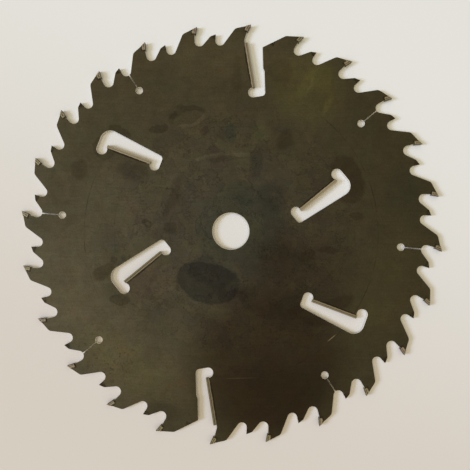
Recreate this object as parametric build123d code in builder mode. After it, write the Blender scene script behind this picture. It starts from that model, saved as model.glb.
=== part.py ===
"""Circular saw blade for ripping timber: a steel plate with brazed carbide teeth and scrapers.

The plate lies in the XY plane. The Z axis is the axis of the bore, the origin is the middle of
the bore halfway through the plate, and the point of the first tooth is on +Y. Seen from +Z the
teeth point clockwise. Lengths are in millimetres. Angles are in degrees, and those round the
blade are counted clockwise from +Y.
"""

import os
from math import acos, asin, cos, degrees, radians, sin, tan

from build123d import *

# Whole blade
tip_diameter = 350.0
plate_thickness = 2.5
kerf_width = 3.6
bore_diameter = 30.0
bore_chamfer = 0.5

# Layout round the blade, which is the same again after a half turn
tooth_count = 24
scraper_count = 6
half_count = 2
pitch = 360 / tooth_count
scraper_pitch = 360 / scraper_count
half_turns = [360 / half_count * half for half in range(half_count)]
slot_teeth = [tooth_count // half_count * half for half in range(half_count)]
tip_radius = tip_diameter / 2

# Carbide tip and its seat
hook_angle = 20.0
clearance_angle = 17.5
top_bevel = 8.0
tip_thickness = 3.0
tip_height = 6.6
tip_root_round = 0.8
side_relief_inward = 1.2
side_relief_backward = 2.5
ledge_width = 0.75
land_step = 0.25

# Tooth body behind the tip
land_length = 13.7
land_length_after_slot = 15.3
heel_round = 4.0
gullet_radius = 4.2
gullet_depth = 17.1

# Chip limiter, the small steel tooth in front of each main tooth
limiter_angle = 5.0
limiter_drop = 8.5
limiter_clearance = 16.6
limiter_land = 4.85
limiter_heel_round = 3.0
limiter_gullet_angle = 6.16
limiter_gullet_radius = 4.0
limiter_gullet_depth = 18.3

# Expansion slits, each from the bottom of a gullet to a round stop hole
slit_width = 0.9
stop_hole_diameter = 6.2
stop_hole_depth = 34.0
slit_teeth = (3, 6)
limiter_slit_tooth = 9
slit_shift_angle = 0.16

# Scraper strips and the seats that they stand on
scraper_lean = 14.5
scraper_offset_angle = -0.55
strip_length = 38.6
strip_thickness = 2.5
strip_width = 3.4
strip_side_relief = 3.4
outer_strip_depth = 15.4
middle_strip_radius = 125.7
inner_strip_radius = 97.7

# Window in front of each scraper strip, measured in the strip's own frame
window_mouth = 12.9
window_taper = 7.4
window_corner_round = 8.8
window_root_round = 3.0
root_lobe_radius = 4.2
outer_lobe_radius = 4.6
outer_lobe_reach = 4.95
outer_lobe_rise = 3.6

# Open window of the outer scrapers, which runs out through the rim
open_mouth = 12.7
open_taper = 7.9
open_rim_drop = 6.2
open_shoulder_rise = 2.2
open_shoulder_round = 4.0
open_jog_start = 24.0
open_jog_length = 2.5
open_jog_width = 1.0
open_rim_round = 0.6


def at(radius, angle):
    """Point at a radius and at an angle clockwise from +Y."""
    return Vector(radius * sin(radians(angle)), radius * cos(radians(angle)))


def heading(angle):
    """Unit vector that points at an angle clockwise from +Y."""
    return at(1, angle)


def tangent_point(outside, centre, radius, side):
    """Where a line from a point touches a circle, anticlockwise (1) or clockwise (-1) of it."""
    to_point = outside - centre
    swing = degrees(acos(radius / to_point.length))
    return centre + to_point.normalized().rotate(Axis.Z, side * swing) * radius


def circle_point(centre, radius, angle):
    """Point on a circle, at an angle clockwise from +Y as seen from its centre."""
    return centre + heading(angle) * radius


# Points of one tooth, with its own point on +Y
tooth_point = at(tip_radius, 0)
down_face = heading(180 + hook_angle)
behind_face = heading(270 + hook_angle)
face_foot = tooth_point + down_face * tip_height
seat_corner = face_foot + behind_face * tip_thickness
ledge_front = face_foot + behind_face * ledge_width
down_land = heading(270 - clearance_angle)
land_drop = heading(180 - clearance_angle) * land_step
seat_reach = tip_thickness / cos(radians(hook_angle + clearance_angle))
top_back = tooth_point + down_land * seat_reach
step_shift = land_step * tan(radians(hook_angle + clearance_angle))
seat_top = tooth_point + land_drop + down_land * (seat_reach + step_shift)

# Centres of the two gullets and points of the limiter between them
gullet_floor = tip_radius - gullet_depth
gullet_centre_radius = gullet_floor + gullet_radius
gullet_centre = at(gullet_centre_radius, 0)
limiter_gullet_floor = tip_radius - limiter_gullet_depth
limiter_gullet_centre_radius = limiter_gullet_floor + limiter_gullet_radius
limiter_gullet_centre = at(limiter_gullet_centre_radius, limiter_gullet_angle)
limiter_point = at(tip_radius - limiter_drop, limiter_angle)
limiter_heel = limiter_point + heading(270 + limiter_angle - limiter_clearance) * limiter_land

# Frame of the outer scraper strip: its origin is the strip's outer front corner
outer_strip_radius = tip_radius - outer_strip_depth
strip_origin = at(outer_strip_radius, scraper_offset_angle)
strip_outward = heading(scraper_offset_angle - scraper_lean)
strip_forward = heading(scraper_offset_angle - scraper_lean + 90)


def strip_point(across, along):
    """Point in front of (across) and outward along the outer scraper strip."""
    return strip_origin + strip_forward * across + strip_outward * along


def tooth_heel(length):
    """Back end of the steel land of the next tooth, at a distance behind its point."""
    heel = tooth_point + land_drop + down_land * length
    return heel.rotate(Axis.Z, -pitch)


def open_wall(along, jog):
    """Point on the back wall of the open window."""
    return strip_point(open_mouth + along * tan(radians(open_taper)) + jog, along)


next_seat_top = seat_top.rotate(Axis.Z, -pitch)

# Rim from one tooth's seat to the next, with the two gullets and the limiter between them
wall_foot = tangent_point(ledge_front, gullet_centre, gullet_radius, 1)
limiter_back_foot = tangent_point(limiter_heel, gullet_centre, gullet_radius, -1)
limiter_face_foot = tangent_point(
    limiter_point, limiter_gullet_centre, limiter_gullet_radius, 1
)
heel = tooth_heel(land_length)
back_foot = tangent_point(heel, limiter_gullet_centre, limiter_gullet_radius, -1)

with BuildLine() as rim_pitch:
    Polyline(seat_top, seat_corner, ledge_front, wall_foot)
    ThreePointArc(wall_foot, at(gullet_floor, 0), limiter_back_foot)
    Polyline(limiter_back_foot, limiter_heel, limiter_point, limiter_face_foot)
    ThreePointArc(
        limiter_face_foot,
        at(limiter_gullet_floor, limiter_gullet_angle),
        back_foot,
    )
    Polyline(back_foot, heel, next_seat_top)
    fillet(rim_pitch.vertices().sort_by_distance(seat_corner)[0], tip_root_round)
    fillet(rim_pitch.vertices().sort_by_distance(limiter_heel)[0], limiter_heel_round)
    fillet(rim_pitch.vertices().sort_by_distance(heel)[0], heel_round)

# Rim of the pitch that holds an outer scraper, whose open window takes the limiter's place
shoulder = strip_point(-strip_thickness, open_shoulder_rise)
seat_foot = strip_point(-strip_thickness, -strip_length)
lobe_side = strip_point(-strip_thickness - root_lobe_radius, -strip_length - root_lobe_radius)
lobe_foot = strip_point(-strip_thickness, -strip_length - 2 * root_lobe_radius)
open_root = open_wall(-strip_length - 2 * root_lobe_radius, open_jog_width)
jog_inner = open_wall(-open_jog_start - open_jog_length, open_jog_width)
jog_outer = open_wall(-open_jog_start, 0)
rim_corner = open_wall(-open_rim_drop, 0)
heel_after_slot = tooth_heel(land_length_after_slot)

with BuildLine() as slot_pitch:
    Polyline(seat_top, seat_corner, ledge_front, shoulder, seat_foot)
    ThreePointArc(seat_foot, lobe_side, lobe_foot)
    Polyline(
        lobe_foot, open_root, jog_inner, jog_outer, rim_corner, heel_after_slot, next_seat_top
    )
    fillet(slot_pitch.vertices().sort_by_distance(seat_corner)[0], tip_root_round)
    fillet(slot_pitch.vertices().sort_by_distance(shoulder)[0], open_shoulder_round)
    fillet(slot_pitch.vertices().sort_by_distance(open_root)[0], window_root_round)
    fillet(slot_pitch.vertices().sort_by_distance(rim_corner)[0], open_rim_round)
    fillet(slot_pitch.vertices().sort_by_distance(heel_after_slot)[0], heel_round)

# Closed window in the strip's frame, with a round lobe beyond each end of the strip's seat
root_lobe_centre = Vector(-strip_thickness, -strip_length - root_lobe_radius)
outer_lobe_centre = Vector(-outer_lobe_reach, outer_lobe_rise)
window_root = -strip_length - 2 * root_lobe_radius
window_end = outer_lobe_rise + outer_lobe_radius
seat_from_lobe = degrees(asin((outer_lobe_reach - strip_thickness) / outer_lobe_radius))
seat_end = circle_point(outer_lobe_centre, outer_lobe_radius, 180 - seat_from_lobe)
outer_lobe_side = circle_point(outer_lobe_centre, outer_lobe_radius, 270)
outer_lobe_top = circle_point(outer_lobe_centre, outer_lobe_radius, 0)
seat_start = circle_point(root_lobe_centre, root_lobe_radius, 0)
root_lobe_side = circle_point(root_lobe_centre, root_lobe_radius, 270)
root_lobe_foot = circle_point(root_lobe_centre, root_lobe_radius, 180)
root_corner = Vector(window_mouth + window_root * tan(radians(window_taper)), window_root)
end_corner = Vector(window_mouth + window_end * tan(radians(window_taper)), window_end)

with BuildSketch() as window:
    with BuildLine():
        Line(seat_end, seat_start)
        ThreePointArc(seat_start, root_lobe_side, root_lobe_foot)
        Polyline(root_lobe_foot, root_corner, end_corner, outer_lobe_top)
        ThreePointArc(outer_lobe_top, outer_lobe_side, seat_end)
    make_face()
    fillet(window.vertices().sort_by_distance(root_corner)[0], window_root_round)
    fillet(window.vertices().sort_by_distance(end_corner)[0], window_corner_round)


def strip_location(radius, turn):
    """Frame of a scraper strip: Y outward along the strip and X forward from its face."""
    angle = turn + scraper_offset_angle
    return Location(at(radius, angle), (0, 0, scraper_lean - angle))


closed_scrapers = {
    "inner": (inner_strip_radius, scraper_pitch),
    "middle": (middle_strip_radius, 2 * scraper_pitch),
}
hole_radius = tip_radius - stop_hole_depth
limiter_slit_angle = limiter_slit_tooth * pitch + limiter_gullet_angle
slits = [(tooth * pitch - slit_shift_angle, gullet_centre_radius) for tooth in slit_teeth]
slits.append((limiter_slit_angle + slit_shift_angle, limiter_gullet_centre_radius))

# Plate: rim, closed windows, bore, stop holes and slits in one face, then its thickness
with BuildSketch() as plate_face:
    with BuildLine():
        for tooth in range(tooth_count):
            outline = slot_pitch if tooth in slot_teeth else rim_pitch
            add(outline.line, rotation=-tooth * pitch)
    make_face()
    for half_turn in half_turns:
        for radius, angle in closed_scrapers.values():
            with Locations(strip_location(radius, angle + half_turn)):
                add(window.sketch, mode=Mode.SUBTRACT)
        for angle, end_radius in slits:
            turn = angle + half_turn
            with Locations(Location(at(hole_radius, turn), (0, 0, -turn))):
                Circle(stop_hole_diameter / 2, mode=Mode.SUBTRACT)
                Rectangle(
                    slit_width,
                    end_radius - hole_radius,
                    align=(Align.CENTER, Align.MIN),
                    mode=Mode.SUBTRACT,
                )
    Circle(bore_diameter / 2, mode=Mode.SUBTRACT)

with BuildPart() as saw_plate:
    add(plate_face.sketch)
    extrude(amount=plate_thickness / 2, both=True)
    bore_rims = saw_plate.edges().filter_by(GeomType.CIRCLE).group_by(SortBy.RADIUS)[-1]
    chamfer(bore_rims, bore_chamfer)

# Directions in the ground faces of a tip: its side relief and its top bevel, per side
inward_slope = tan(radians(side_relief_inward))
backward_slope = tan(radians(side_relief_backward))
bevel_slope = tan(radians(top_bevel))


def ground_face(corner, first, second, side):
    """Plane through a corner and along two directions, with the kept side above it."""
    return Plane(corner, x_dir=first, z_dir=first.cross(second) * side)


def carbide_tip(high_side):
    """Tip of the first tooth, whose top bevel is high towards +Z (1) or -Z (-1)."""
    with BuildPart() as tip:
        with BuildSketch() as outline:
            Polygon(tooth_point, face_foot, seat_corner, top_back, align=None)
            fillet(outline.vertices().sort_by_distance(seat_corner)[0], tip_root_round)
        extrude(amount=kerf_width / 2, both=True)
        for side in (1, -1):
            out = Vector(0, 0, side)
            corner = tooth_point + out * (kerf_width / 2)
            down = down_face - out * inward_slope
            back = behind_face - out * backward_slope
            split(bisect_by=ground_face(corner, down, back, side), keep=Keep.TOP)
            if side == high_side:
                across = down_face * bevel_slope - out
                split(bisect_by=ground_face(corner, down_land, across, side), keep=Keep.TOP)
    return tip.part


tips = {1: carbide_tip(1), -1: carbide_tip(-1)}

# Scraper strip in its own frame, widest across its front face
with BuildPart() as scraper_strip:
    with BuildSketch(Plane((0, 0, 0), x_dir=(0, 0, -1), z_dir=(0, 1, 0))):
        Trapezoid(
            strip_width,
            strip_thickness,
            90 - strip_side_relief,
            align=(Align.CENTER, Align.MIN),
        )
    extrude(amount=-strip_length)

pieces = {"saw_plate": saw_plate.part}
for tooth in range(tooth_count):
    with BuildPart() as tip:
        add(tips[1 if tooth % 2 == 0 else -1], rotation=(0, 0, -tooth * pitch))
    pieces[f"carbide_tip_{tooth + 1:02d}"] = tip.part
scrapers = {"outer": (outer_strip_radius, 0), **closed_scrapers}
for kind, (radius, angle) in scrapers.items():
    for number, half_turn in enumerate(half_turns, start=1):
        with BuildPart() as scraper:
            with Locations(strip_location(radius, angle + half_turn)):
                add(scraper_strip.part)
        pieces[f"{kind}_scraper_{number}"] = scraper.part

os.makedirs("parts", exist_ok=True)
for name, piece in pieces.items():
    piece.label = name
    export_step(piece, f"parts/{name}.step")
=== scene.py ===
"""Looks of the circular saw blade: stained plate, ground carbide, solder beads, floor and light.

Lengths in the helpers are millimetres in the row frame; meshes are in metres.
"""

from math import cos, degrees, radians, sin

import bmesh
import bpy
from mathutils import Matrix, Vector, noise


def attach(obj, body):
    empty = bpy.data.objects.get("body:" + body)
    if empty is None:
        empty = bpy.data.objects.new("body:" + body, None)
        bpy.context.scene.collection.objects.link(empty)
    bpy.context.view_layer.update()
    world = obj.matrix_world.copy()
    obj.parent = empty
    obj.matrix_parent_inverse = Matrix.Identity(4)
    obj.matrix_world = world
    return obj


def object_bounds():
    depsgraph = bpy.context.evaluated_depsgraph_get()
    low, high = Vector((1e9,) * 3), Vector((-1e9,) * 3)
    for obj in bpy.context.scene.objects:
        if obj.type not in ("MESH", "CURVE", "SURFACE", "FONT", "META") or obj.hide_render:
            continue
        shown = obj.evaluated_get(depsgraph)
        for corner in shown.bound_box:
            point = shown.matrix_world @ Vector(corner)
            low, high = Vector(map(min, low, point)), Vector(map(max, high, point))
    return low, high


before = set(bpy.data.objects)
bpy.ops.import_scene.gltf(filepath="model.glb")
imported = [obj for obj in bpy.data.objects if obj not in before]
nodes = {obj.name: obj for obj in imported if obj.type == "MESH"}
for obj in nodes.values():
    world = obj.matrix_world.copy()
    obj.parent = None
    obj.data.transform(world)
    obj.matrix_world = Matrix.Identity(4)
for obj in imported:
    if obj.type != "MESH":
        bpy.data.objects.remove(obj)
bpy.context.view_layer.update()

MM = 0.001

# Sizes of the blade that the beads and finishes follow
TIP_RADIUS = 175.0
TOOTH_COUNT = 24
PITCH = 360 / TOOTH_COUNT
HALF_PLATE = 1.25
HOOK = 20.0
CLEARANCE = 17.5
TIP_HEIGHT = 6.6
TIP_THICKNESS = 3.0
STRIP_LENGTH = 38.6
STRIP_THICKNESS = 2.5
STRIP_OFFSET = -0.55
STRIP_LEAN = 14.5
STRIPS = {
    "outer_scraper": (159.6, 0.0),
    "inner_scraper": (97.7, 60.0),
    "middle_scraper": (125.7, 120.0),
}

# How much painted highlight each strip's front gets where it catches the light, and how much bare
# solder shows behind it
STRIP_LOOKS = {
    "outer_scraper_1": (0.3, 0.8),
    "outer_scraper_2": (0.0, 0.3),
    "inner_scraper_1": (0.8, 0.6),
    "inner_scraper_2": (0.0, 0.6),
    "middle_scraper_1": (0.3, 0.3),
    "middle_scraper_2": (0.6, 0.9),
}

# Marks across a strip, by their distance behind its front; the light line is a painted highlight
HIGHLIGHT_LINE = 0.75
BURNT_GROOVE = 1.3
BARE_SOLDER = (1.4, 1.6)

# Burnt flux on the plate along a strip's seat: distance behind the strip's front, half sizes
SEAT_FLUX = 3.2
SEAT_FLUX_HALF_WIDTH = 0.9
SEAT_FLUX_HALF_LENGTH = 20.5

# Solder seam of a tip, by its distance behind the tooth's face and inward from its point
SEAM_FRONT = 0.5
SEAM_BACK = 2.7
SEAM_FOOT = 6.1

# Burnt flux beside a tip: where it starts to fade and where it ends
FLUX_BEHIND = (3.4, 4.4)
FLUX_INWARD = (7.0, 8.0)

# Rolling marks: their turn in degrees, and the size of one streak
ROLLING_TURN = 5.6
ROLLING_STREAK = (40, 1.4, 40)

# Camera straight above the plate, a little below its middle: tilt about X and Y, then turn
CAMERA_PLACE = (8.86, -18.71, 415.54)
CAMERA_TILT = (2.187, 0.702)
CAMERA_TURN = 5.577
CAMERA_LENS = 38.298
CAMERA_SENSOR = 36.0

# Beads of solder: half width and height above the plate, and the step along them
STRIP_BEAD = (0.3, 0.2)
STRIP_BEAD_STEP = 0.8
STRIP_BEAD_INSET = 0.3
TIP_BEAD = (0.36, 0.2)
TIP_BEAD_STEP = 0.6
BEAD_SIDES = 8

# Floor's half side in metres, and how wide each lamp looks from the floor in degrees
FLOOR_HALF = 20.0
LAMP_WIDTH = 20


def at(radius, angle):
    """Point at a radius and at an angle clockwise from +Y."""
    return Vector((radius * sin(radians(angle)), radius * cos(radians(angle)), 0))


def add_object(name, data):
    """New object of the scene."""
    made = bpy.data.objects.new(name, data)
    bpy.context.scene.collection.objects.link(made)
    return made


camera_data = bpy.data.cameras.new("camera")
camera_data.sensor_width = CAMERA_SENSOR
camera_data.lens = CAMERA_LENS
camera = add_object("camera", camera_data)
tilt_x, tilt_y = (radians(angle) for angle in CAMERA_TILT)
tilt = Matrix.Rotation(tilt_x, 4, "X") @ Matrix.Rotation(tilt_y, 4, "Y")
turn = Matrix.Rotation(radians(CAMERA_TURN), 4, "Z")
camera.matrix_world = Matrix.Translation(Vector(CAMERA_PLACE) * MM) @ tilt @ turn
bpy.context.scene.camera = camera


class Finish:
    """A material under construction, with short names for the nodes that it is built from."""

    def __init__(self, name):
        self.material = bpy.data.materials.new(name)
        self.material.use_nodes = True
        self.tree = self.material.node_tree
        self.shader = self.tree.nodes["Principled BSDF"]
        place = self.node("ShaderNodeTexCoord")
        self.point = self.mapped(place.outputs["Object"], scale=(1 / MM,) * 3)

    def node(self, kind, inputs=None, **settings):
        """Add a node, set its options and its inputs, which may be values or sockets."""
        made = self.tree.nodes.new(kind)
        for key, value in settings.items():
            setattr(made, key, value)
        for key, value in (inputs or {}).items():
            self.feed(made.inputs[key], value)
        return made

    def feed(self, socket, value):
        """Link a socket, or set a plain value."""
        if isinstance(value, bpy.types.NodeSocket):
            self.tree.links.new(value, socket)
        else:
            socket.default_value = value

    def mapped(self, vector, place=(0, 0, 0), turn=(0, 0, 0), scale=(1, 1, 1), kind="POINT"):
        """Vector after a Mapping node; kind TEXTURE gives it in a placed and turned frame."""
        inputs = {"Vector": vector, "Location": place, "Rotation": turn, "Scale": scale}
        return self.node("ShaderNodeMapping", inputs, vector_type=kind).outputs[0]

    def tooth(self):
        """Millimetres behind a tooth's face and inward along it, the same for every tooth."""
        x, y, _ = self.split(self.point)
        radius = self.radius()
        angle = self.math("ARCTAN2", x, y)
        fold = self.math("WRAP", angle, radians(PITCH / 2), radians(-PITCH / 2))
        ahead = self.math("MULTIPLY", fold, radius)
        out = self.math("SUBTRACT", radius, TIP_RADIUS)
        behind = self.math("MULTIPLY", ahead, -cos(radians(HOOK)))
        behind = self.math("MULTIPLY_ADD", out, sin(radians(HOOK)), behind)
        inward = self.math("MULTIPLY", ahead, -sin(radians(HOOK)))
        inward = self.math("MULTIPLY_ADD", out, -cos(radians(HOOK)), inward)
        return behind, inward

    def math(self, operation, first, second=0.0, third=0.0):
        """Result of a Math node."""
        inputs = {0: first, 1: second, 2: third}
        return self.node("ShaderNodeMath", inputs, operation=operation).outputs[0]

    def noise(self, scale, detail=3.0, roughness=0.5, vector=None, distortion=0.0):
        """Noise value; scale is features per millimetre."""
        inputs = {
            "Vector": vector or self.point,
            "Scale": scale,
            "Detail": detail,
            "Roughness": roughness,
            "Distortion": distortion,
        }
        return self.node("ShaderNodeTexNoise", inputs).outputs["Fac"]

    def ramp(self, value, low, high, start=0.0, end=1.0):
        """Value taken smoothly from the span low to high over to start to end."""
        inputs = {"Value": value, 1: low, 2: high, 3: start, 4: end}
        made = self.node("ShaderNodeMapRange", inputs, interpolation_type="SMOOTHSTEP")
        return made.outputs[0]

    def mix(self, factor, first, second, blend="MIX"):
        """Colour between two colours."""
        inputs = {0: factor, 6: first, 7: second}
        mixer = self.node("ShaderNodeMix", inputs, data_type="RGBA", blend_type=blend)
        return mixer.outputs[2]

    def split(self, vector):
        """X, Y and Z of a vector."""
        return self.node("ShaderNodeSeparateXYZ", {0: vector}).outputs

    def radius(self):
        """Distance from the bore's axis in millimetres."""
        flat = self.mapped(self.point, scale=(1, 1, 0))
        made = self.node("ShaderNodeVectorMath", {0: flat}, operation="LENGTH")
        return made.outputs["Value"]

    def vector_math(self, operation, *values):
        """Vector from a Vector Math node."""
        inputs = dict(enumerate(values))
        return self.node("ShaderNodeVectorMath", inputs, operation=operation).outputs[0]

    def bump(self, height, distance, strength=1.0):
        """Bump the surface; distance is the height of a full step in millimetres."""
        inputs = {"Height": height, "Distance": distance * MM, "Strength": strength}
        self.feed(self.shader.inputs["Normal"], self.node("ShaderNodeBump", inputs).outputs[0])

    def set(self, **values):
        """Set the shader's own inputs by name, with underscores for spaces."""
        for key, value in values.items():
            self.feed(self.shader.inputs[key.replace("_", " ")], value)


def rgb(red, green, blue):
    """Colour with its alpha, in linear values."""
    return (red, green, blue, 1.0)


# Kinds of stain, as tints of the bare steel under them; the resin tint also paints a dark
# reflection on the plate
TINTS = {
    "resin_and_dark_reflection": (0.50, 0.40, 0.35),
    "flux": (0.45, 0.45, 0.40),
    "burnt": (0.40, 0.45, 0.55),
    "purple": (0.70, 0.60, 0.75),
    "teal": (0.70, 0.85, 0.90),
    "green": (1.45, 1.50, 1.10),
    "bare": (1.50, 1.50, 1.50),
    "pink": (1.30, 1.10, 1.10),
}

# Stains and worn patches of the plate, and a painted dark reflection: middle x and y, half width
# and height, turn in degrees, sharpness of the edge, strength, kind
STAINS_AND_REFLECTION = [
    # broad zones: painted dark reflection at the lower and middle right, bare steel at the left
    # and top, green at the right
    (42, -108, 80, 84, 0, 0.5, 0.8, "resin_and_dark_reflection"),
    (46, -132, 52, 38, 0, 0.4, 0.4, "resin_and_dark_reflection"),
    (58, -28, 62, 62, 20, 0.3, 0.5, "resin_and_dark_reflection"),
    (48, -22, 30, 22, -20, 0.4, 0.3, "resin_and_dark_reflection"),
    (-80, -110, 88, 62, -20, 0.3, 0.5, "bare"),
    (-75, -118, 60, 26, -30, 0.3, 0.3, "green"),
    (-130, -50, 50, 60, 0, 0.3, 0.4, "bare"),
    (-60, -48, 34, 22, 20, 0.4, 0.4, "pink"),
    (-100, 12, 46, 44, 0, 0.3, 0.3, "bare"),
    (134, -34, 34, 70, -14, 0.4, 0.3, "green"),
    (54, 124, 44, 42, -20, 0.3, 0.6, "green"),
    (-8, 148, 100, 28, 4, 0.3, 0.4, "bare"),
    (140, 45, 22, 34, 10, 0.4, 0.4, "teal"),
    (100, 102, 26, 14, -35, 0.4, 0.3, "teal"),
    (80, -120, 14, 26, 0, 0.5, 0.4, "teal"),
    (28, 138, 12, 14, 0, 0.6, 0.3, "flux"),
    (-8, 130, 6, 22, 0, 0.4, 0.3, "resin_and_dark_reflection"),
    (-40, -152, 22, 10, 0, 0.3, 0.3, "burnt"),
    # burnt patch under the bore
    (-15, -44, 28, 18, -6, 0.9, 0.7, "burnt"),
    (-20, -33, 13, 12, 45, 0.9, 0.3, "burnt"),
    (-16, -47, 18, 12, 0, 0.5, 0.3, "purple"),
    (-1, -38, 10, 9, 0, 0.6, 0.4, "burnt"),
    (-3, -50, 5, 10, 0, 0.5, 0.3, "burnt"),
    (10, -54, 14, 8, 0, 0.6, 0.4, "purple"),
    (18, -50, 12, 10, 10, 0.6, 0.3, "flux"),
    # bright streaks inside the green patch
    (51, 130, 6, 18, -20, 0.4, 0.4, "green"),
    (64, 136, 11, 16, 10, 0.5, 0.4, "green"),
    (70, 113, 4, 12, -10, 0.3, 0.5, "green"),
    (55, 128, 2.5, 11, -15, 0.5, 0.4, "bare"),
    (36, 106, 13, 9, 0, 0.4, 0.3, "green"),
    (36, 106, 13, 9, 0, 0.4, 0.3, "teal"),
    # disc that the flange covered
    (8, 4, 48, 46, 0, 0.5, 0.6, "teal"),
    (32, 32, 16, 16, 0, 0.5, 0.4, "burnt"),
    (10, 32, 18, 11, 0, 0.8, 0.4, "teal"),
    # halos at the window ends
    (92, 53, 15, 22, 25, 0.8, 0.5, "resin_and_dark_reflection"),
    (-112, 61, 11, 11, 0, 0.9, 0.4, "flux"),
    (-100, 75, 12, 6, -20, 0.8, 0.5, "flux"),
    (-102, -43, 12, 6, 40, 0.7, 0.5, "flux"),
    (-86, -66, 9, 5, 5, 0.9, 0.5, "flux"),
    (-94, -32, 4, 4, 0, 0.7, 0.4, "flux"),
    (72, -64, 22, 8, -15, 0.6, 0.3, "resin_and_dark_reflection"),
    (92, -51, 18, 7, 20, 0.6, 0.4, "resin_and_dark_reflection"),
    # round and oval spots
    (-69, 79, 9, 4, 10, 0.9, 0.5, "flux"),
    (-47, 93, 17, 8, 25, 0.9, 0.4, "flux"),
    (-44, 90, 15, 7, 25, 0.8, 0.6, "bare"),
    (-58, 92, 4, 4, 0, 0.6, 0.4, "flux"),
    (-53, 100, 4, 3, 0, 0.6, 0.4, "flux"),
    (-30, 82, 4, 5, 0, 0.6, 0.6, "purple"),
    (-20, 68, 6, 4, 0, 0.6, 0.5, "purple"),
    (-8, 82, 5, 8, 10, 0.8, 0.7, "teal"),
    (15, 84, 8, 9, 0, 0.6, 0.5, "teal"),
    (15, 84, 8, 9, 0, 0.6, 0.4, "green"),
    (38, 80, 8, 11, 0, 0.5, 0.5, "flux"),
    (16, 58, 7, 16, 4, 0.5, 0.4, "burnt"),
    (-24, 60, 15, 2.5, 22, 0.5, 0.5, "bare"),
    (-2, 65, 14, 2.5, 4, 0.5, 0.5, "bare"),
    (-12, 60, 20, 4, 8, 0.5, 0.3, "flux"),
    (-131, 39, 9, 10, 0, 0.6, 0.4, "flux"),
    (-86, 42, 18, 11, 0, 0.4, 0.4, "burnt"),
    (-50, 25, 6, 24, -20, 0.5, 0.4, "flux"),
    (-84, 12, 8, 13, 0, 0.6, 0.4, "pink"),
    (-50, 60, 10, 8, 0, 0.5, 0.3, "pink"),
    (-115, -80, 12, 8, 0, 0.5, 0.3, "pink"),
    (70, 2, 16, 8, 0, 0.6, 0.4, "pink"),
    (82, -8, 10, 4, 0, 0.6, 0.4, "resin_and_dark_reflection"),
    (66, -14, 10, 5, 30, 0.6, 0.4, "resin_and_dark_reflection"),
    (45, -15, 6, 10, 10, 0.6, 0.3, "resin_and_dark_reflection"),
    (102, 22, 7, 4, 0, 0.8, 0.4, "resin_and_dark_reflection"),
    (-70, 0, 5, 4, 0, 0.9, 0.5, "flux"),
    (-70, 0, 3, 2, 0, 0.6, 0.6, "bare"),
    (-50, -2, 6, 6, 20, 0.6, 0.4, "flux"),
]

# Scratches of the plate: from x, y to x, y, half width, strength
SCRATCHES = [
    (87, -83.5, 95, -75.5, 0.5, 4.0),
    (3, -121.5, 38, -117, 0.4, 1.0),
    (96, -90, 72, -103, 0.22, -0.20),
    (-127, -7, -108, -9, 0.4, -0.25),
    (136, 2.5, 145, 4.5, 0.6, 0.35),
    (40, 112, 68, 98, 0.2, -0.18),
    (-28, 100, -52, 97, 0.25, -0.2),
    (20, 70, 60, 82, 0.2, -0.15),
]

# Faint rings left by tensioning rolls and by the clamping flange: radius, half width, strength
RINGS = [(122.0, 0.5, -0.42), (97.0, 0.6, -0.14), (66.0, 1.6, 0.10), (51.0, 1.0, -0.10)]

# Half depth of every oval mark, so large that the plate's thickness makes no difference
MARK_DEPTH = 1000


def oval(finish, vector, middle, half_x, half_y, angle, edge, strength):
    """Mask of an oval: its strength in the middle, falling to nothing at its rim."""
    ball = finish.node("ShaderNodeTexGradient", {"Vector": vector}, gradient_type="SPHERICAL")
    ball.texture_mapping.vector_type = "TEXTURE"
    ball.texture_mapping.translation = (*middle, 0)
    ball.texture_mapping.rotation = (0, 0, radians(angle))
    ball.texture_mapping.scale = (half_x, half_y, MARK_DEPTH)
    return finish.ramp(ball.outputs["Fac"], 0.0, 1.0 - edge, 0.0, strength)


def scratch(finish, vector, line):
    """Mask of one thin straight scratch."""
    start, end = Vector(line[:2]), Vector(line[2:4])
    run = end - start
    angle = -degrees(Vector((1, 0)).angle_signed(run))
    return oval(finish, vector, (start + end) / 2, run.length / 2, line[4], angle, 0.4, line[5])


def warped(finish):
    """Bent coordinates that give marks a ragged edge: far for stains, fine for narrow seams."""
    far = finish.point
    for scale, reach in ((0.045, 10.0), (0.22, 3.5)):
        inputs = {"Vector": finish.point, "Scale": scale, "Detail": 4.0}
        swirl = finish.node("ShaderNodeTexNoise", inputs).outputs["Color"]
        centred = finish.vector_math("SUBTRACT", swirl, (0.5,) * 3)
        far = finish.vector_math("MULTIPLY_ADD", centred, (reach,) * 3, far)
    fine = finish.vector_math("MULTIPLY_ADD", centred, (1.6,) * 3, finish.point)
    return far, fine


def steel_tone(steel, x):
    """Lightness of the steel with painted light, higher to the left where the window lamp lights
    it, and the noise of its rolling marks.
    """
    # Painted light: the steel is drawn lighter towards the left, the side of the window lamp
    tone = steel.math("MULTIPLY_ADD", x, -0.0011, 1.05)
    clouds = steel.ramp(steel.noise(0.03, 6.0, 0.62, distortion=0.4), 0.28, 0.72, 0.95, 1.05)
    mottle = steel.ramp(steel.noise(0.16, 6.0, 0.65), 0.3, 0.7, 0.94, 1.06)
    grain = steel.ramp(steel.noise(0.8, 4.0, 0.7), 0.3, 0.7, 0.88, 1.12)
    rolled = (0, 0, radians(ROLLING_TURN))
    along = steel.mapped(steel.point, turn=rolled, scale=ROLLING_STREAK, kind="TEXTURE")
    streaks = steel.noise(1.0, 4.0, 0.6, along)
    rolling = steel.ramp(streaks, 0.3, 0.7, 0.95, 1.05)
    for factor in (clouds, mottle, grain, rolling):
        tone = steel.math("MULTIPLY", tone, factor)
    return tone, streaks


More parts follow.
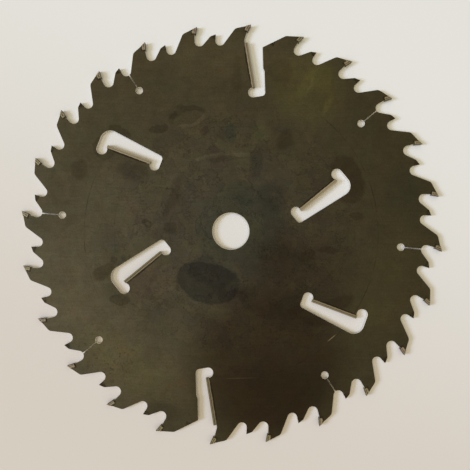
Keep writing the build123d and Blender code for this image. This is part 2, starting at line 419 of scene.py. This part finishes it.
def steel_colour(steel, radius):
    """Bare steel, a little cooler and paler round the bore, under a thin uneven film."""
    hue = steel.ramp(steel.noise(0.022, 4.0, 0.55), 0.42, 0.58)
    colour = steel.mix(hue, rgb(0.068, 0.0565, 0.032), rgb(0.065, 0.0565, 0.032))
    colour = steel.mix(steel.ramp(radius, 150.0, 30.0), colour, rgb(0.072, 0.064, 0.044))
    film = steel.noise(0.07, 3.0, 0.6, steel.mapped(steel.point, (60, 20, 0)))
    film = steel.ramp(film, 0.35, 0.65)
    film = steel.mix(film, rgb(1.04, 0.99, 0.99), rgb(0.99, 1.01, 1.0))
    return steel.mix(1.0, colour, film, "MULTIPLY")


def dried_patches(steel, colour, radius, vector):
    """Patches with sharp borders and faint tide lines, stronger round the bore."""
    inner = steel.ramp(radius, 125.0, 80.0)
    depth = steel.math("MULTIPLY_ADD", inner, 0.35, 0.25)
    mark = steel.math("MULTIPLY_ADD", inner, 0.25, 0.12)
    for scale, seed, tint in (
        (0.026, 11.0, rgb(0.84, 0.82, 0.86)),
        (0.040, 37.0, rgb(1.14, 1.15, 1.02)),
        (0.070, 71.0, rgb(0.86, 0.90, 0.92)),
    ):
        field = steel.noise(scale, 5.0, 0.6, steel.mapped(vector, (seed, seed, 0)))
        patch = steel.math("MULTIPLY", steel.ramp(field, 0.50, 0.53), depth)
        colour = steel.mix(patch, colour, tint, "MULTIPLY")
        rim = steel.math("ABSOLUTE", steel.math("SUBTRACT", field, 0.5))
        tide = steel.math("MULTIPLY", steel.ramp(rim, 0.010, 0.0), mark)
        colour = steel.mix(tide, colour, rgb(0.02, 0.016, 0.011))
    return colour


def stained_and_reflected(steel, colour, vector):
    """Colour under all the stains and the painted dark reflection."""
    for mid_x, mid_y, half_x, half_y, angle, edge, strength, kind in STAINS_AND_REFLECTION:
        # The first broad resin entries are a painted dark reflection, not resin
        mask = oval(steel, vector, (mid_x, mid_y), half_x, half_y, angle, edge, strength)
        colour = steel.mix(mask, colour, rgb(*TINTS[kind]), "MULTIPLY")
    return colour


def burnt_seats(steel, colour, vector):
    """Burnt flux on the plate beside the seats of the tips and strips."""
    behind, inward = steel.tooth()
    start, end = FLUX_BEHIND
    beside = steel.ramp(behind, end, start)
    start, end = FLUX_INWARD
    seat = steel.math("MULTIPLY", beside, steel.ramp(inward, end, start))
    seat = steel.math("MULTIPLY", seat, steel.ramp(steel.noise(0.5, 3.0), 0.35, 0.6, 0.2, 0.8))
    colour = steel.mix(seat, colour, rgb(0.022, 0.017, 0.010))
    for strip_radius, angle in STRIPS.values():
        for half in (0.0, 180.0):
            swing = STRIP_LEAN - angle - half - STRIP_OFFSET
            behind_strip = Vector((-SEAT_FLUX, -STRIP_LENGTH / 2, 0))
            middle = at(strip_radius, angle + half + STRIP_OFFSET)
            middle += Matrix.Rotation(radians(swing), 3, "Z") @ behind_strip
            sizes = (SEAT_FLUX_HALF_WIDTH, SEAT_FLUX_HALF_LENGTH)
            flux = oval(steel, vector, middle.to_2d(), *sizes, swing, 0.7, 0.75)
            colour = steel.mix(flux, colour, rgb(0.020, 0.015, 0.009))
    return colour


def pits_and_dust(steel, colour, vector):
    """Small dark pits, thicker at the lower left, and pale dust."""
    thick = oval(steel, vector, (-95, -112), 46, 36, -35, 0.3, 0.7)
    thick = steel.math("MULTIPLY", thick, steel.ramp(steel.noise(0.28, 5.0, 0.8), 0.54, 0.66))
    colour = steel.mix(thick, colour, rgb(0.035, 0.028, 0.018))
    pits = steel.ramp(steel.noise(0.42, 5.0, 0.75), 0.60, 0.72, 0.0, 0.45)
    colour = steel.mix(pits, colour, rgb(0.018, 0.014, 0.009))
    dust = steel.noise(0.6, 5.0, 0.8, steel.mapped(steel.point, (5, 9, 0)))
    dust = steel.ramp(dust, 0.66, 0.76, 0.0, 0.3)
    return steel.mix(dust, colour, rgb(0.16, 0.14, 0.10))


def rings_and_scratches(steel, x, y, radius):
    """How much the rings and scratches brighten or darken the steel."""
    broken = steel.ramp(steel.noise(0.05, 4.0, 0.7), 0.38, 0.62)
    side = steel.math("MULTIPLY_ADD", x, -0.35, steel.math("ABSOLUTE", y))
    broken = steel.math("MULTIPLY", broken, steel.ramp(side, 105.0, 85.0))
    marks = [scratch(steel, steel.point, line) for line in SCRATCHES]
    for ring_radius, half_width, strength in RINGS:
        off = steel.math("ABSOLUTE", steel.math("SUBTRACT", radius, ring_radius))
        ring = steel.ramp(off, half_width, half_width * 0.3, 0.0, strength)
        marks.append(steel.math("MULTIPLY", ring, broken))
    total = marks[0]
    for mark in marks[1:]:
        total = steel.math("ADD", total, mark)
    return total


def plate_finish():
    """Rolled tool steel, darkened by heat, with flux and resin stains, a painted dark reflection
    and painted light from the left.
    """
    steel = Finish("plate_steel")
    x, y, z = steel.split(steel.point)
    front = steel.ramp(z, -0.5, 0.5)
    radius = steel.radius()
    far, fine = warped(steel)
    tone, streaks = steel_tone(steel, x)
    bare = dried_patches(steel, steel_colour(steel, radius), radius, far)
    colour = steel.mix(front, bare, stained_and_reflected(steel, bare, far))
    colour = steel.mix(1.0, colour, tone, "MULTIPLY")
    colour = burnt_seats(steel, colour, fine)
    colour = pits_and_dust(steel, colour, fine)
    marks = rings_and_scratches(steel, x, y, radius)
    marks = steel.math("MULTIPLY_ADD", marks, front, 1.0)
    colour = steel.mix(1.0, colour, marks, "MULTIPLY")

    # Cut walls are brighter and duller than the faces
    _, _, upright = steel.split(steel.node("ShaderNodeNewGeometry").outputs["True Normal"])
    wall = steel.ramp(steel.math("ABSOLUTE", upright), 0.9, 0.6)
    cut = steel.mix(steel.noise(0.9, 3.0), rgb(0.60, 0.56, 0.48), rgb(0.80, 0.76, 0.66))
    colour = steel.mix(wall, colour, cut)

    gloss = steel.ramp(steel.noise(0.12, 5.0, 0.6), 0.3, 0.7, 0.42, 0.54)
    gloss = steel.math("MULTIPLY_ADD", wall, 0.3, gloss)
    metal = steel.math("MULTIPLY_ADD", wall, -0.7, 0.9)
    steel.set(Base_Color=colour, Metallic=metal, Roughness=gloss)
    relief = steel.math("ADD", steel.noise(0.9, 4.0, 0.7), streaks)
    steel.bump(relief, 0.02, 0.5)
    return steel.material


def carbide_finish():
    """Fine-ground carbide of a tip: greyish, a little pink, with grinding lines."""
    carbide = Finish("tip_carbide")
    behind, inward = carbide.tooth()
    grain = carbide.noise(1.0, 4.0, 0.65, carbide.mapped(carbide.point, scale=(3.0, 3.0, 9.0)))
    blotch = carbide.ramp(carbide.noise(0.5, 3.0, 0.6), 0.35, 0.65)
    ground = carbide.mix(blotch, rgb(0.10, 0.085, 0.065), rgb(0.21, 0.18, 0.15))
    each = carbide.ramp(carbide.noise(0.035, 1.0), 0.42, 0.58)
    pinker = carbide.mix(1.0, ground, rgb(1.35, 1.2, 1.15), "MULTIPLY")
    ground = carbide.mix(each, ground, pinker)

    # Solder drawn round the block's border, wider at the back, and a thin dark front edge
    ragged = carbide.math("MULTIPLY_ADD", carbide.math("SUBTRACT", blotch, 0.5), 0.5, behind)
    back = carbide.math("SUBTRACT", SEAM_BACK, ragged)
    foot = carbide.math("SUBTRACT", SEAM_FOOT, inward)
    border = carbide.math("MINIMUM", carbide.math("SUBTRACT", ragged, SEAM_FRONT), foot)
    border = carbide.math("MINIMUM", border, carbide.math("MULTIPLY", back, 0.6))
    outline = carbide.ramp(border, 0.55, 0.25, 0.0, 0.8)
    pale = carbide.mix(each, rgb(0.44, 0.38, 0.20), rgb(0.44, 0.37, 0.28))
    pale = carbide.mix(grain, pale, carbide.mix(1.0, pale, rgb(1.3, 1.3, 1.3), "MULTIPLY"))
    colour = carbide.mix(outline, ground, pale)
    edge = carbide.ramp(border, 0.1, -0.1, 0.0, 0.85)
    colour = carbide.mix(edge, colour, rgb(0.04, 0.032, 0.02))
    dirt = carbide.ramp(grain, 0.4, 0.7, 0.0, 0.25)
    colour = carbide.mix(dirt, colour, rgb(0.05, 0.04, 0.03))
    carbide.set(Base_Color=colour, Metallic=0.85)
    carbide.set(Roughness=carbide.ramp(grain, 0.3, 0.7, 0.34, 0.5))
    carbide.bump(grain, 0.01, 0.6)
    return carbide.material


def strip_finish(name, radius, angle, lit_front, washed):
    """Scraper carbide from its seat to its front: solder, a burnt groove, a painted highlight
    line, brown lightened by painted highlight.
    """
    carbide = Finish(f"scraper_carbide_{name}")
    origin = at(radius, angle + STRIP_OFFSET)
    turned = radians(STRIP_LEAN - angle - STRIP_OFFSET)
    local = carbide.mapped(carbide.point, origin, (0, 0, turned), (1, 1, 1), "TEXTURE")
    across = carbide.split(local)[0]
    lumps = carbide.noise(0.7, 4.0, 0.65)
    edge = carbide.math("MULTIPLY_ADD", carbide.math("SUBTRACT", lumps, 0.5), 1.4, across)
    streak = carbide.noise(1.0, 4.0, 0.6, carbide.mapped(local, scale=(2.2, 0.25, 1.0)))
    brown = carbide.mix(streak, rgb(0.080, 0.060, 0.030), rgb(0.18, 0.14, 0.075))
    # Painted highlight: the brown front of a strip that catches the light is drawn lighter, and
    # its groove fainter
    brown = carbide.mix(lit_front, brown, rgb(0.38, 0.31, 0.20))
    pale = carbide.mix(lumps, rgb(0.16, 0.13, 0.07), rgb(0.42, 0.36, 0.24))
    start, end = BARE_SOLDER
    colour = carbide.mix(carbide.ramp(edge, -start, -end, 0.0, washed), brown, pale)
    groove = carbide.math("ABSOLUTE", carbide.math("ADD", edge, BURNT_GROOVE))
    groove = carbide.ramp(groove, 0.4, 0.15, 0.0, 0.85 - 0.6 * lit_front)
    colour = carbide.mix(groove, colour, rgb(0.02, 0.016, 0.010))
    # Painted highlight: a light line near the strip's front edge, where it catches the light
    line = carbide.math("ABSOLUTE", carbide.math("ADD", across, HIGHLIGHT_LINE))
    colour = carbide.mix(carbide.ramp(line, 0.3, 0.1, 0.0, 0.6), colour, rgb(0.32, 0.26, 0.15))
    carbide.set(Base_Color=colour, Metallic=0.4)
    carbide.set(Roughness=carbide.ramp(streak, 0.3, 0.7, 0.45, 0.6))
    carbide.bump(carbide.math("ADD", lumps, streak), 0.03, 0.6)
    return carbide.material


def solder_finish():
    """Silver solder with burnt flux in its hollows."""
    solder = Finish("silver_solder")
    lumps = solder.noise(1.1, 5.0, 0.7)
    burnt = solder.ramp(solder.noise(0.35, 4.0, 0.6), 0.36, 0.56)
    colour = solder.mix(lumps, rgb(0.16, 0.125, 0.07), rgb(0.42, 0.35, 0.22))
    colour = solder.mix(solder.math("MULTIPLY", burnt, 0.8), colour, rgb(0.05, 0.038, 0.025))
    solder.set(Base_Color=colour, Metallic=0.8, Roughness=0.45)
    solder.bump(lumps, 0.08, 0.8)
    return solder.material


def assign(piece, material):
    """Give a piece one material on all its faces."""
    piece.data.materials.clear()
    piece.data.materials.append(material)
    for face in piece.data.polygons:
        face.material_index = 0


assign(nodes["saw_plate"], plate_finish())
tip_material = carbide_finish()
for number in range(1, TOOTH_COUNT + 1):
    assign(nodes[f"carbide_tip_{number:02d}"], tip_material)
for kind, (radius, angle) in STRIPS.items():
    for number, half in enumerate((0.0, 180.0), start=1):
        name = f"{kind}_{number}"
        assign(nodes[name], strip_finish(name, radius, angle + half, *STRIP_LOOKS[name]))


# Solder beads in the corners between the plate's faces and the carbide


def bead(mesh, points, width, height, seed):
    """Half-sunk bead along a path: an oval disc drawn out from point to point."""
    direction = (points[1] - points[0]).normalized()
    across = direction.cross(Vector((0, 0, 1)))
    basis = Matrix((across, Vector((0, 0, 1)), direction)).transposed().to_4x4()

    def station(index):
        """Width and height of the bead at one point, lumpy along its length."""
        lump = noise.noise(points[index] * 0.9 + Vector((seed, 0, 0)))
        fine = noise.noise(points[index] * 2.3 + Vector((0, seed, 0)))
        swell = max(0.25, 1.0 + 0.9 * lump + 0.5 * fine)
        ends = 0.35 if index in (0, len(points) - 1) else 1.0
        return width * swell * ends, height * (0.5 + 0.5 * swell) * ends

    wide, tall = station(0)
    shape = Matrix.Diagonal((wide * MM, tall * MM, 1, 1))
    place = Matrix.Translation(points[0] * MM) @ basis @ shape
    disc = bmesh.ops.create_circle(
        mesh, cap_ends=True, segments=BEAD_SIDES, radius=1.0, matrix=place
    )
    face = disc["verts"][0].link_faces[0]
    for index in range(1, len(points)):
        grown = bmesh.ops.extrude_face_region(mesh, geom=[face])["geom"]
        face = [item for item in grown if isinstance(item, bmesh.types.BMFace)][0]
        verts = list(face.verts)
        next_wide, next_tall = station(index)
        scale = Matrix.Diagonal((next_wide / wide, next_tall / tall, 1, 1))
        step = Matrix.Translation(points[index] * MM) @ basis @ scale
        back = (Matrix.Translation(points[index - 1] * MM) @ basis).inverted()
        bmesh.ops.transform(mesh, matrix=step @ back, verts=verts)
        wide, tall = next_wide, next_tall


def sampled(corners, step):
    """Points along a path of straight runs, about a step apart."""
    points = [corners[0]]
    for start, end in zip(corners, corners[1:]):
        count = max(1, round((end - start).length / step))
        points += [start.lerp(end, i / count) for i in range(1, count + 1)]
    return points


def finish_bead_mesh(name, mesh, material):
    """Turn a bmesh of beads into a smooth piece of the object."""
    bmesh.ops.recalc_face_normals(mesh, faces=mesh.faces)
    data = bpy.data.meshes.new(name)
    mesh.to_mesh(data)
    mesh.free()
    data.shade_smooth()
    piece = add_object(name, data)
    assign(piece, material)
    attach(piece, "root")


def strip_beads():
    """Bead behind each strip, on both faces of the plate."""
    mesh = bmesh.new()
    for radius, angle in STRIPS.values():
        for half in (0.0, 180.0):
            place = at(radius, angle + half + STRIP_OFFSET)
            turned = radians(STRIP_LEAN - angle - half - STRIP_OFFSET)
            swing = Matrix.Rotation(turned, 3, "Z")
            for side in (1, -1):
                ends = (-STRIP_BEAD_INSET, STRIP_BEAD_INSET - STRIP_LENGTH)
                corners = [place + swing @ Vector((-STRIP_THICKNESS, end, 0)) for end in ends]
                corners = [corner + Vector((0, 0, side * HALF_PLATE)) for corner in corners]
                path = sampled(corners, STRIP_BEAD_STEP)
                bead(mesh, path, *STRIP_BEAD, radius + half + side)
    return mesh


def tip_beads():
    """Bead round the back and foot of each tip, on both faces of the plate."""
    tooth_point = at(TIP_RADIUS, 0)
    face_foot = tooth_point + at(TIP_HEIGHT, 180 + HOOK)
    seat_corner = face_foot + at(TIP_THICKNESS, 270 + HOOK)
    top_length = TIP_THICKNESS / cos(radians(HOOK + CLEARANCE))

    # From behind the top, down the back, round the seat's corner and along the foot
    seat_path = [
        tooth_point + at(top_length + 0.25, 270 - CLEARANCE),
        seat_corner + at(0.7, HOOK),
        seat_corner + at(0.35, 90 + HOOK - 45),
        seat_corner + at(0.7, 90 + HOOK),
        face_foot + at(0.9, 270 + HOOK),
    ]
    mesh = bmesh.new()
    for tooth in range(TOOTH_COUNT):
        swing = Matrix.Rotation(radians(-tooth * PITCH), 3, "Z")
        for side in (1, -1):
            lift = Vector((0, 0, side * HALF_PLATE))
            corners = [swing @ corner + lift for corner in seat_path]
            bead(mesh, sampled(corners, TIP_BEAD_STEP), *TIP_BEAD, tooth + side * 0.3)
    return mesh


solder_material = solder_finish()
finish_bead_mesh("scraper_solder", strip_beads(), solder_material)
finish_bead_mesh("tip_solder", tip_beads(), solder_material)


# Floor under the teeth

low = Vector(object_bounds()[0])
floor_mesh = bmesh.new()
bmesh.ops.create_grid(floor_mesh, x_segments=1, y_segments=1, size=FLOOR_HALF)
bmesh.ops.translate(floor_mesh, vec=(0, 0, low.z), verts=floor_mesh.verts)
floor_data = bpy.data.meshes.new("floor")
floor_mesh.to_mesh(floor_data)
floor_mesh.free()
floor = add_object("floor", floor_data)
paint = Finish("floor_paint")
side_x, side_y, _ = paint.split(paint.point)
warm = paint.ramp(paint.math("MULTIPLY_ADD", side_x, 0.25, side_y), -200.0, 180.0)
paint.set(
    Base_Color=paint.mix(warm, rgb(0.65, 0.61, 0.58), rgb(0.745, 0.755, 0.76)),
    Roughness=0.9,
    Specular_IOR_Level=0.0,
)
paint.bump(paint.noise(0.02, 3.0), 0.2, 0.2)
assign(floor, paint.material)


# Light: a wide cool window from the left, a warm fill that softens its shadows and a warm room


def lamp(name, angle, height, energy, colour):
    """Wide soft lamp far away, by its angle clockwise from +Y and its height above the floor."""
    data = bpy.data.lights.new(name, "SUN")
    data.angle = radians(LAMP_WIDTH)
    data.color = colour
    data.energy = energy
    made = add_object(name, data)
    made.location = at(cos(radians(height)), angle) + Vector((0, 0, sin(radians(height))))
    made.rotation_euler = made.location.to_track_quat("Z", "Y").to_euler()
    return made


world = bpy.data.worlds.new("room")
world.use_nodes = True
tree = world.node_tree
room = tree.nodes["Background"]
room.inputs[0].default_value = rgb(0.67, 0.60, 0.44)
room.inputs[1].default_value = 1.0
backdrop = tree.nodes.new("ShaderNodeBackground")
backdrop.inputs[0].default_value = rgb(0.74, 0.72, 0.66)
path = tree.nodes.new("ShaderNodeLightPath")
choice = tree.nodes.new("ShaderNodeMixShader")
tree.links.new(path.outputs["Is Camera Ray"], choice.inputs[0])
tree.links.new(room.outputs[0], choice.inputs[1])
tree.links.new(backdrop.outputs[0], choice.inputs[2])
tree.links.new(choice.outputs[0], tree.nodes["World Output"].inputs[0])
bpy.context.scene.world = world

lamp("window", 258.0, 30.0, 2.63, (0.59, 0.715, 1.0))
fill = lamp("fill", 232.0, 60.0, 0.507, (0.85, 0.715, 0.45))
fill.visible_glossy = False

bpy.context.scene.view_settings.view_transform = "Standard"
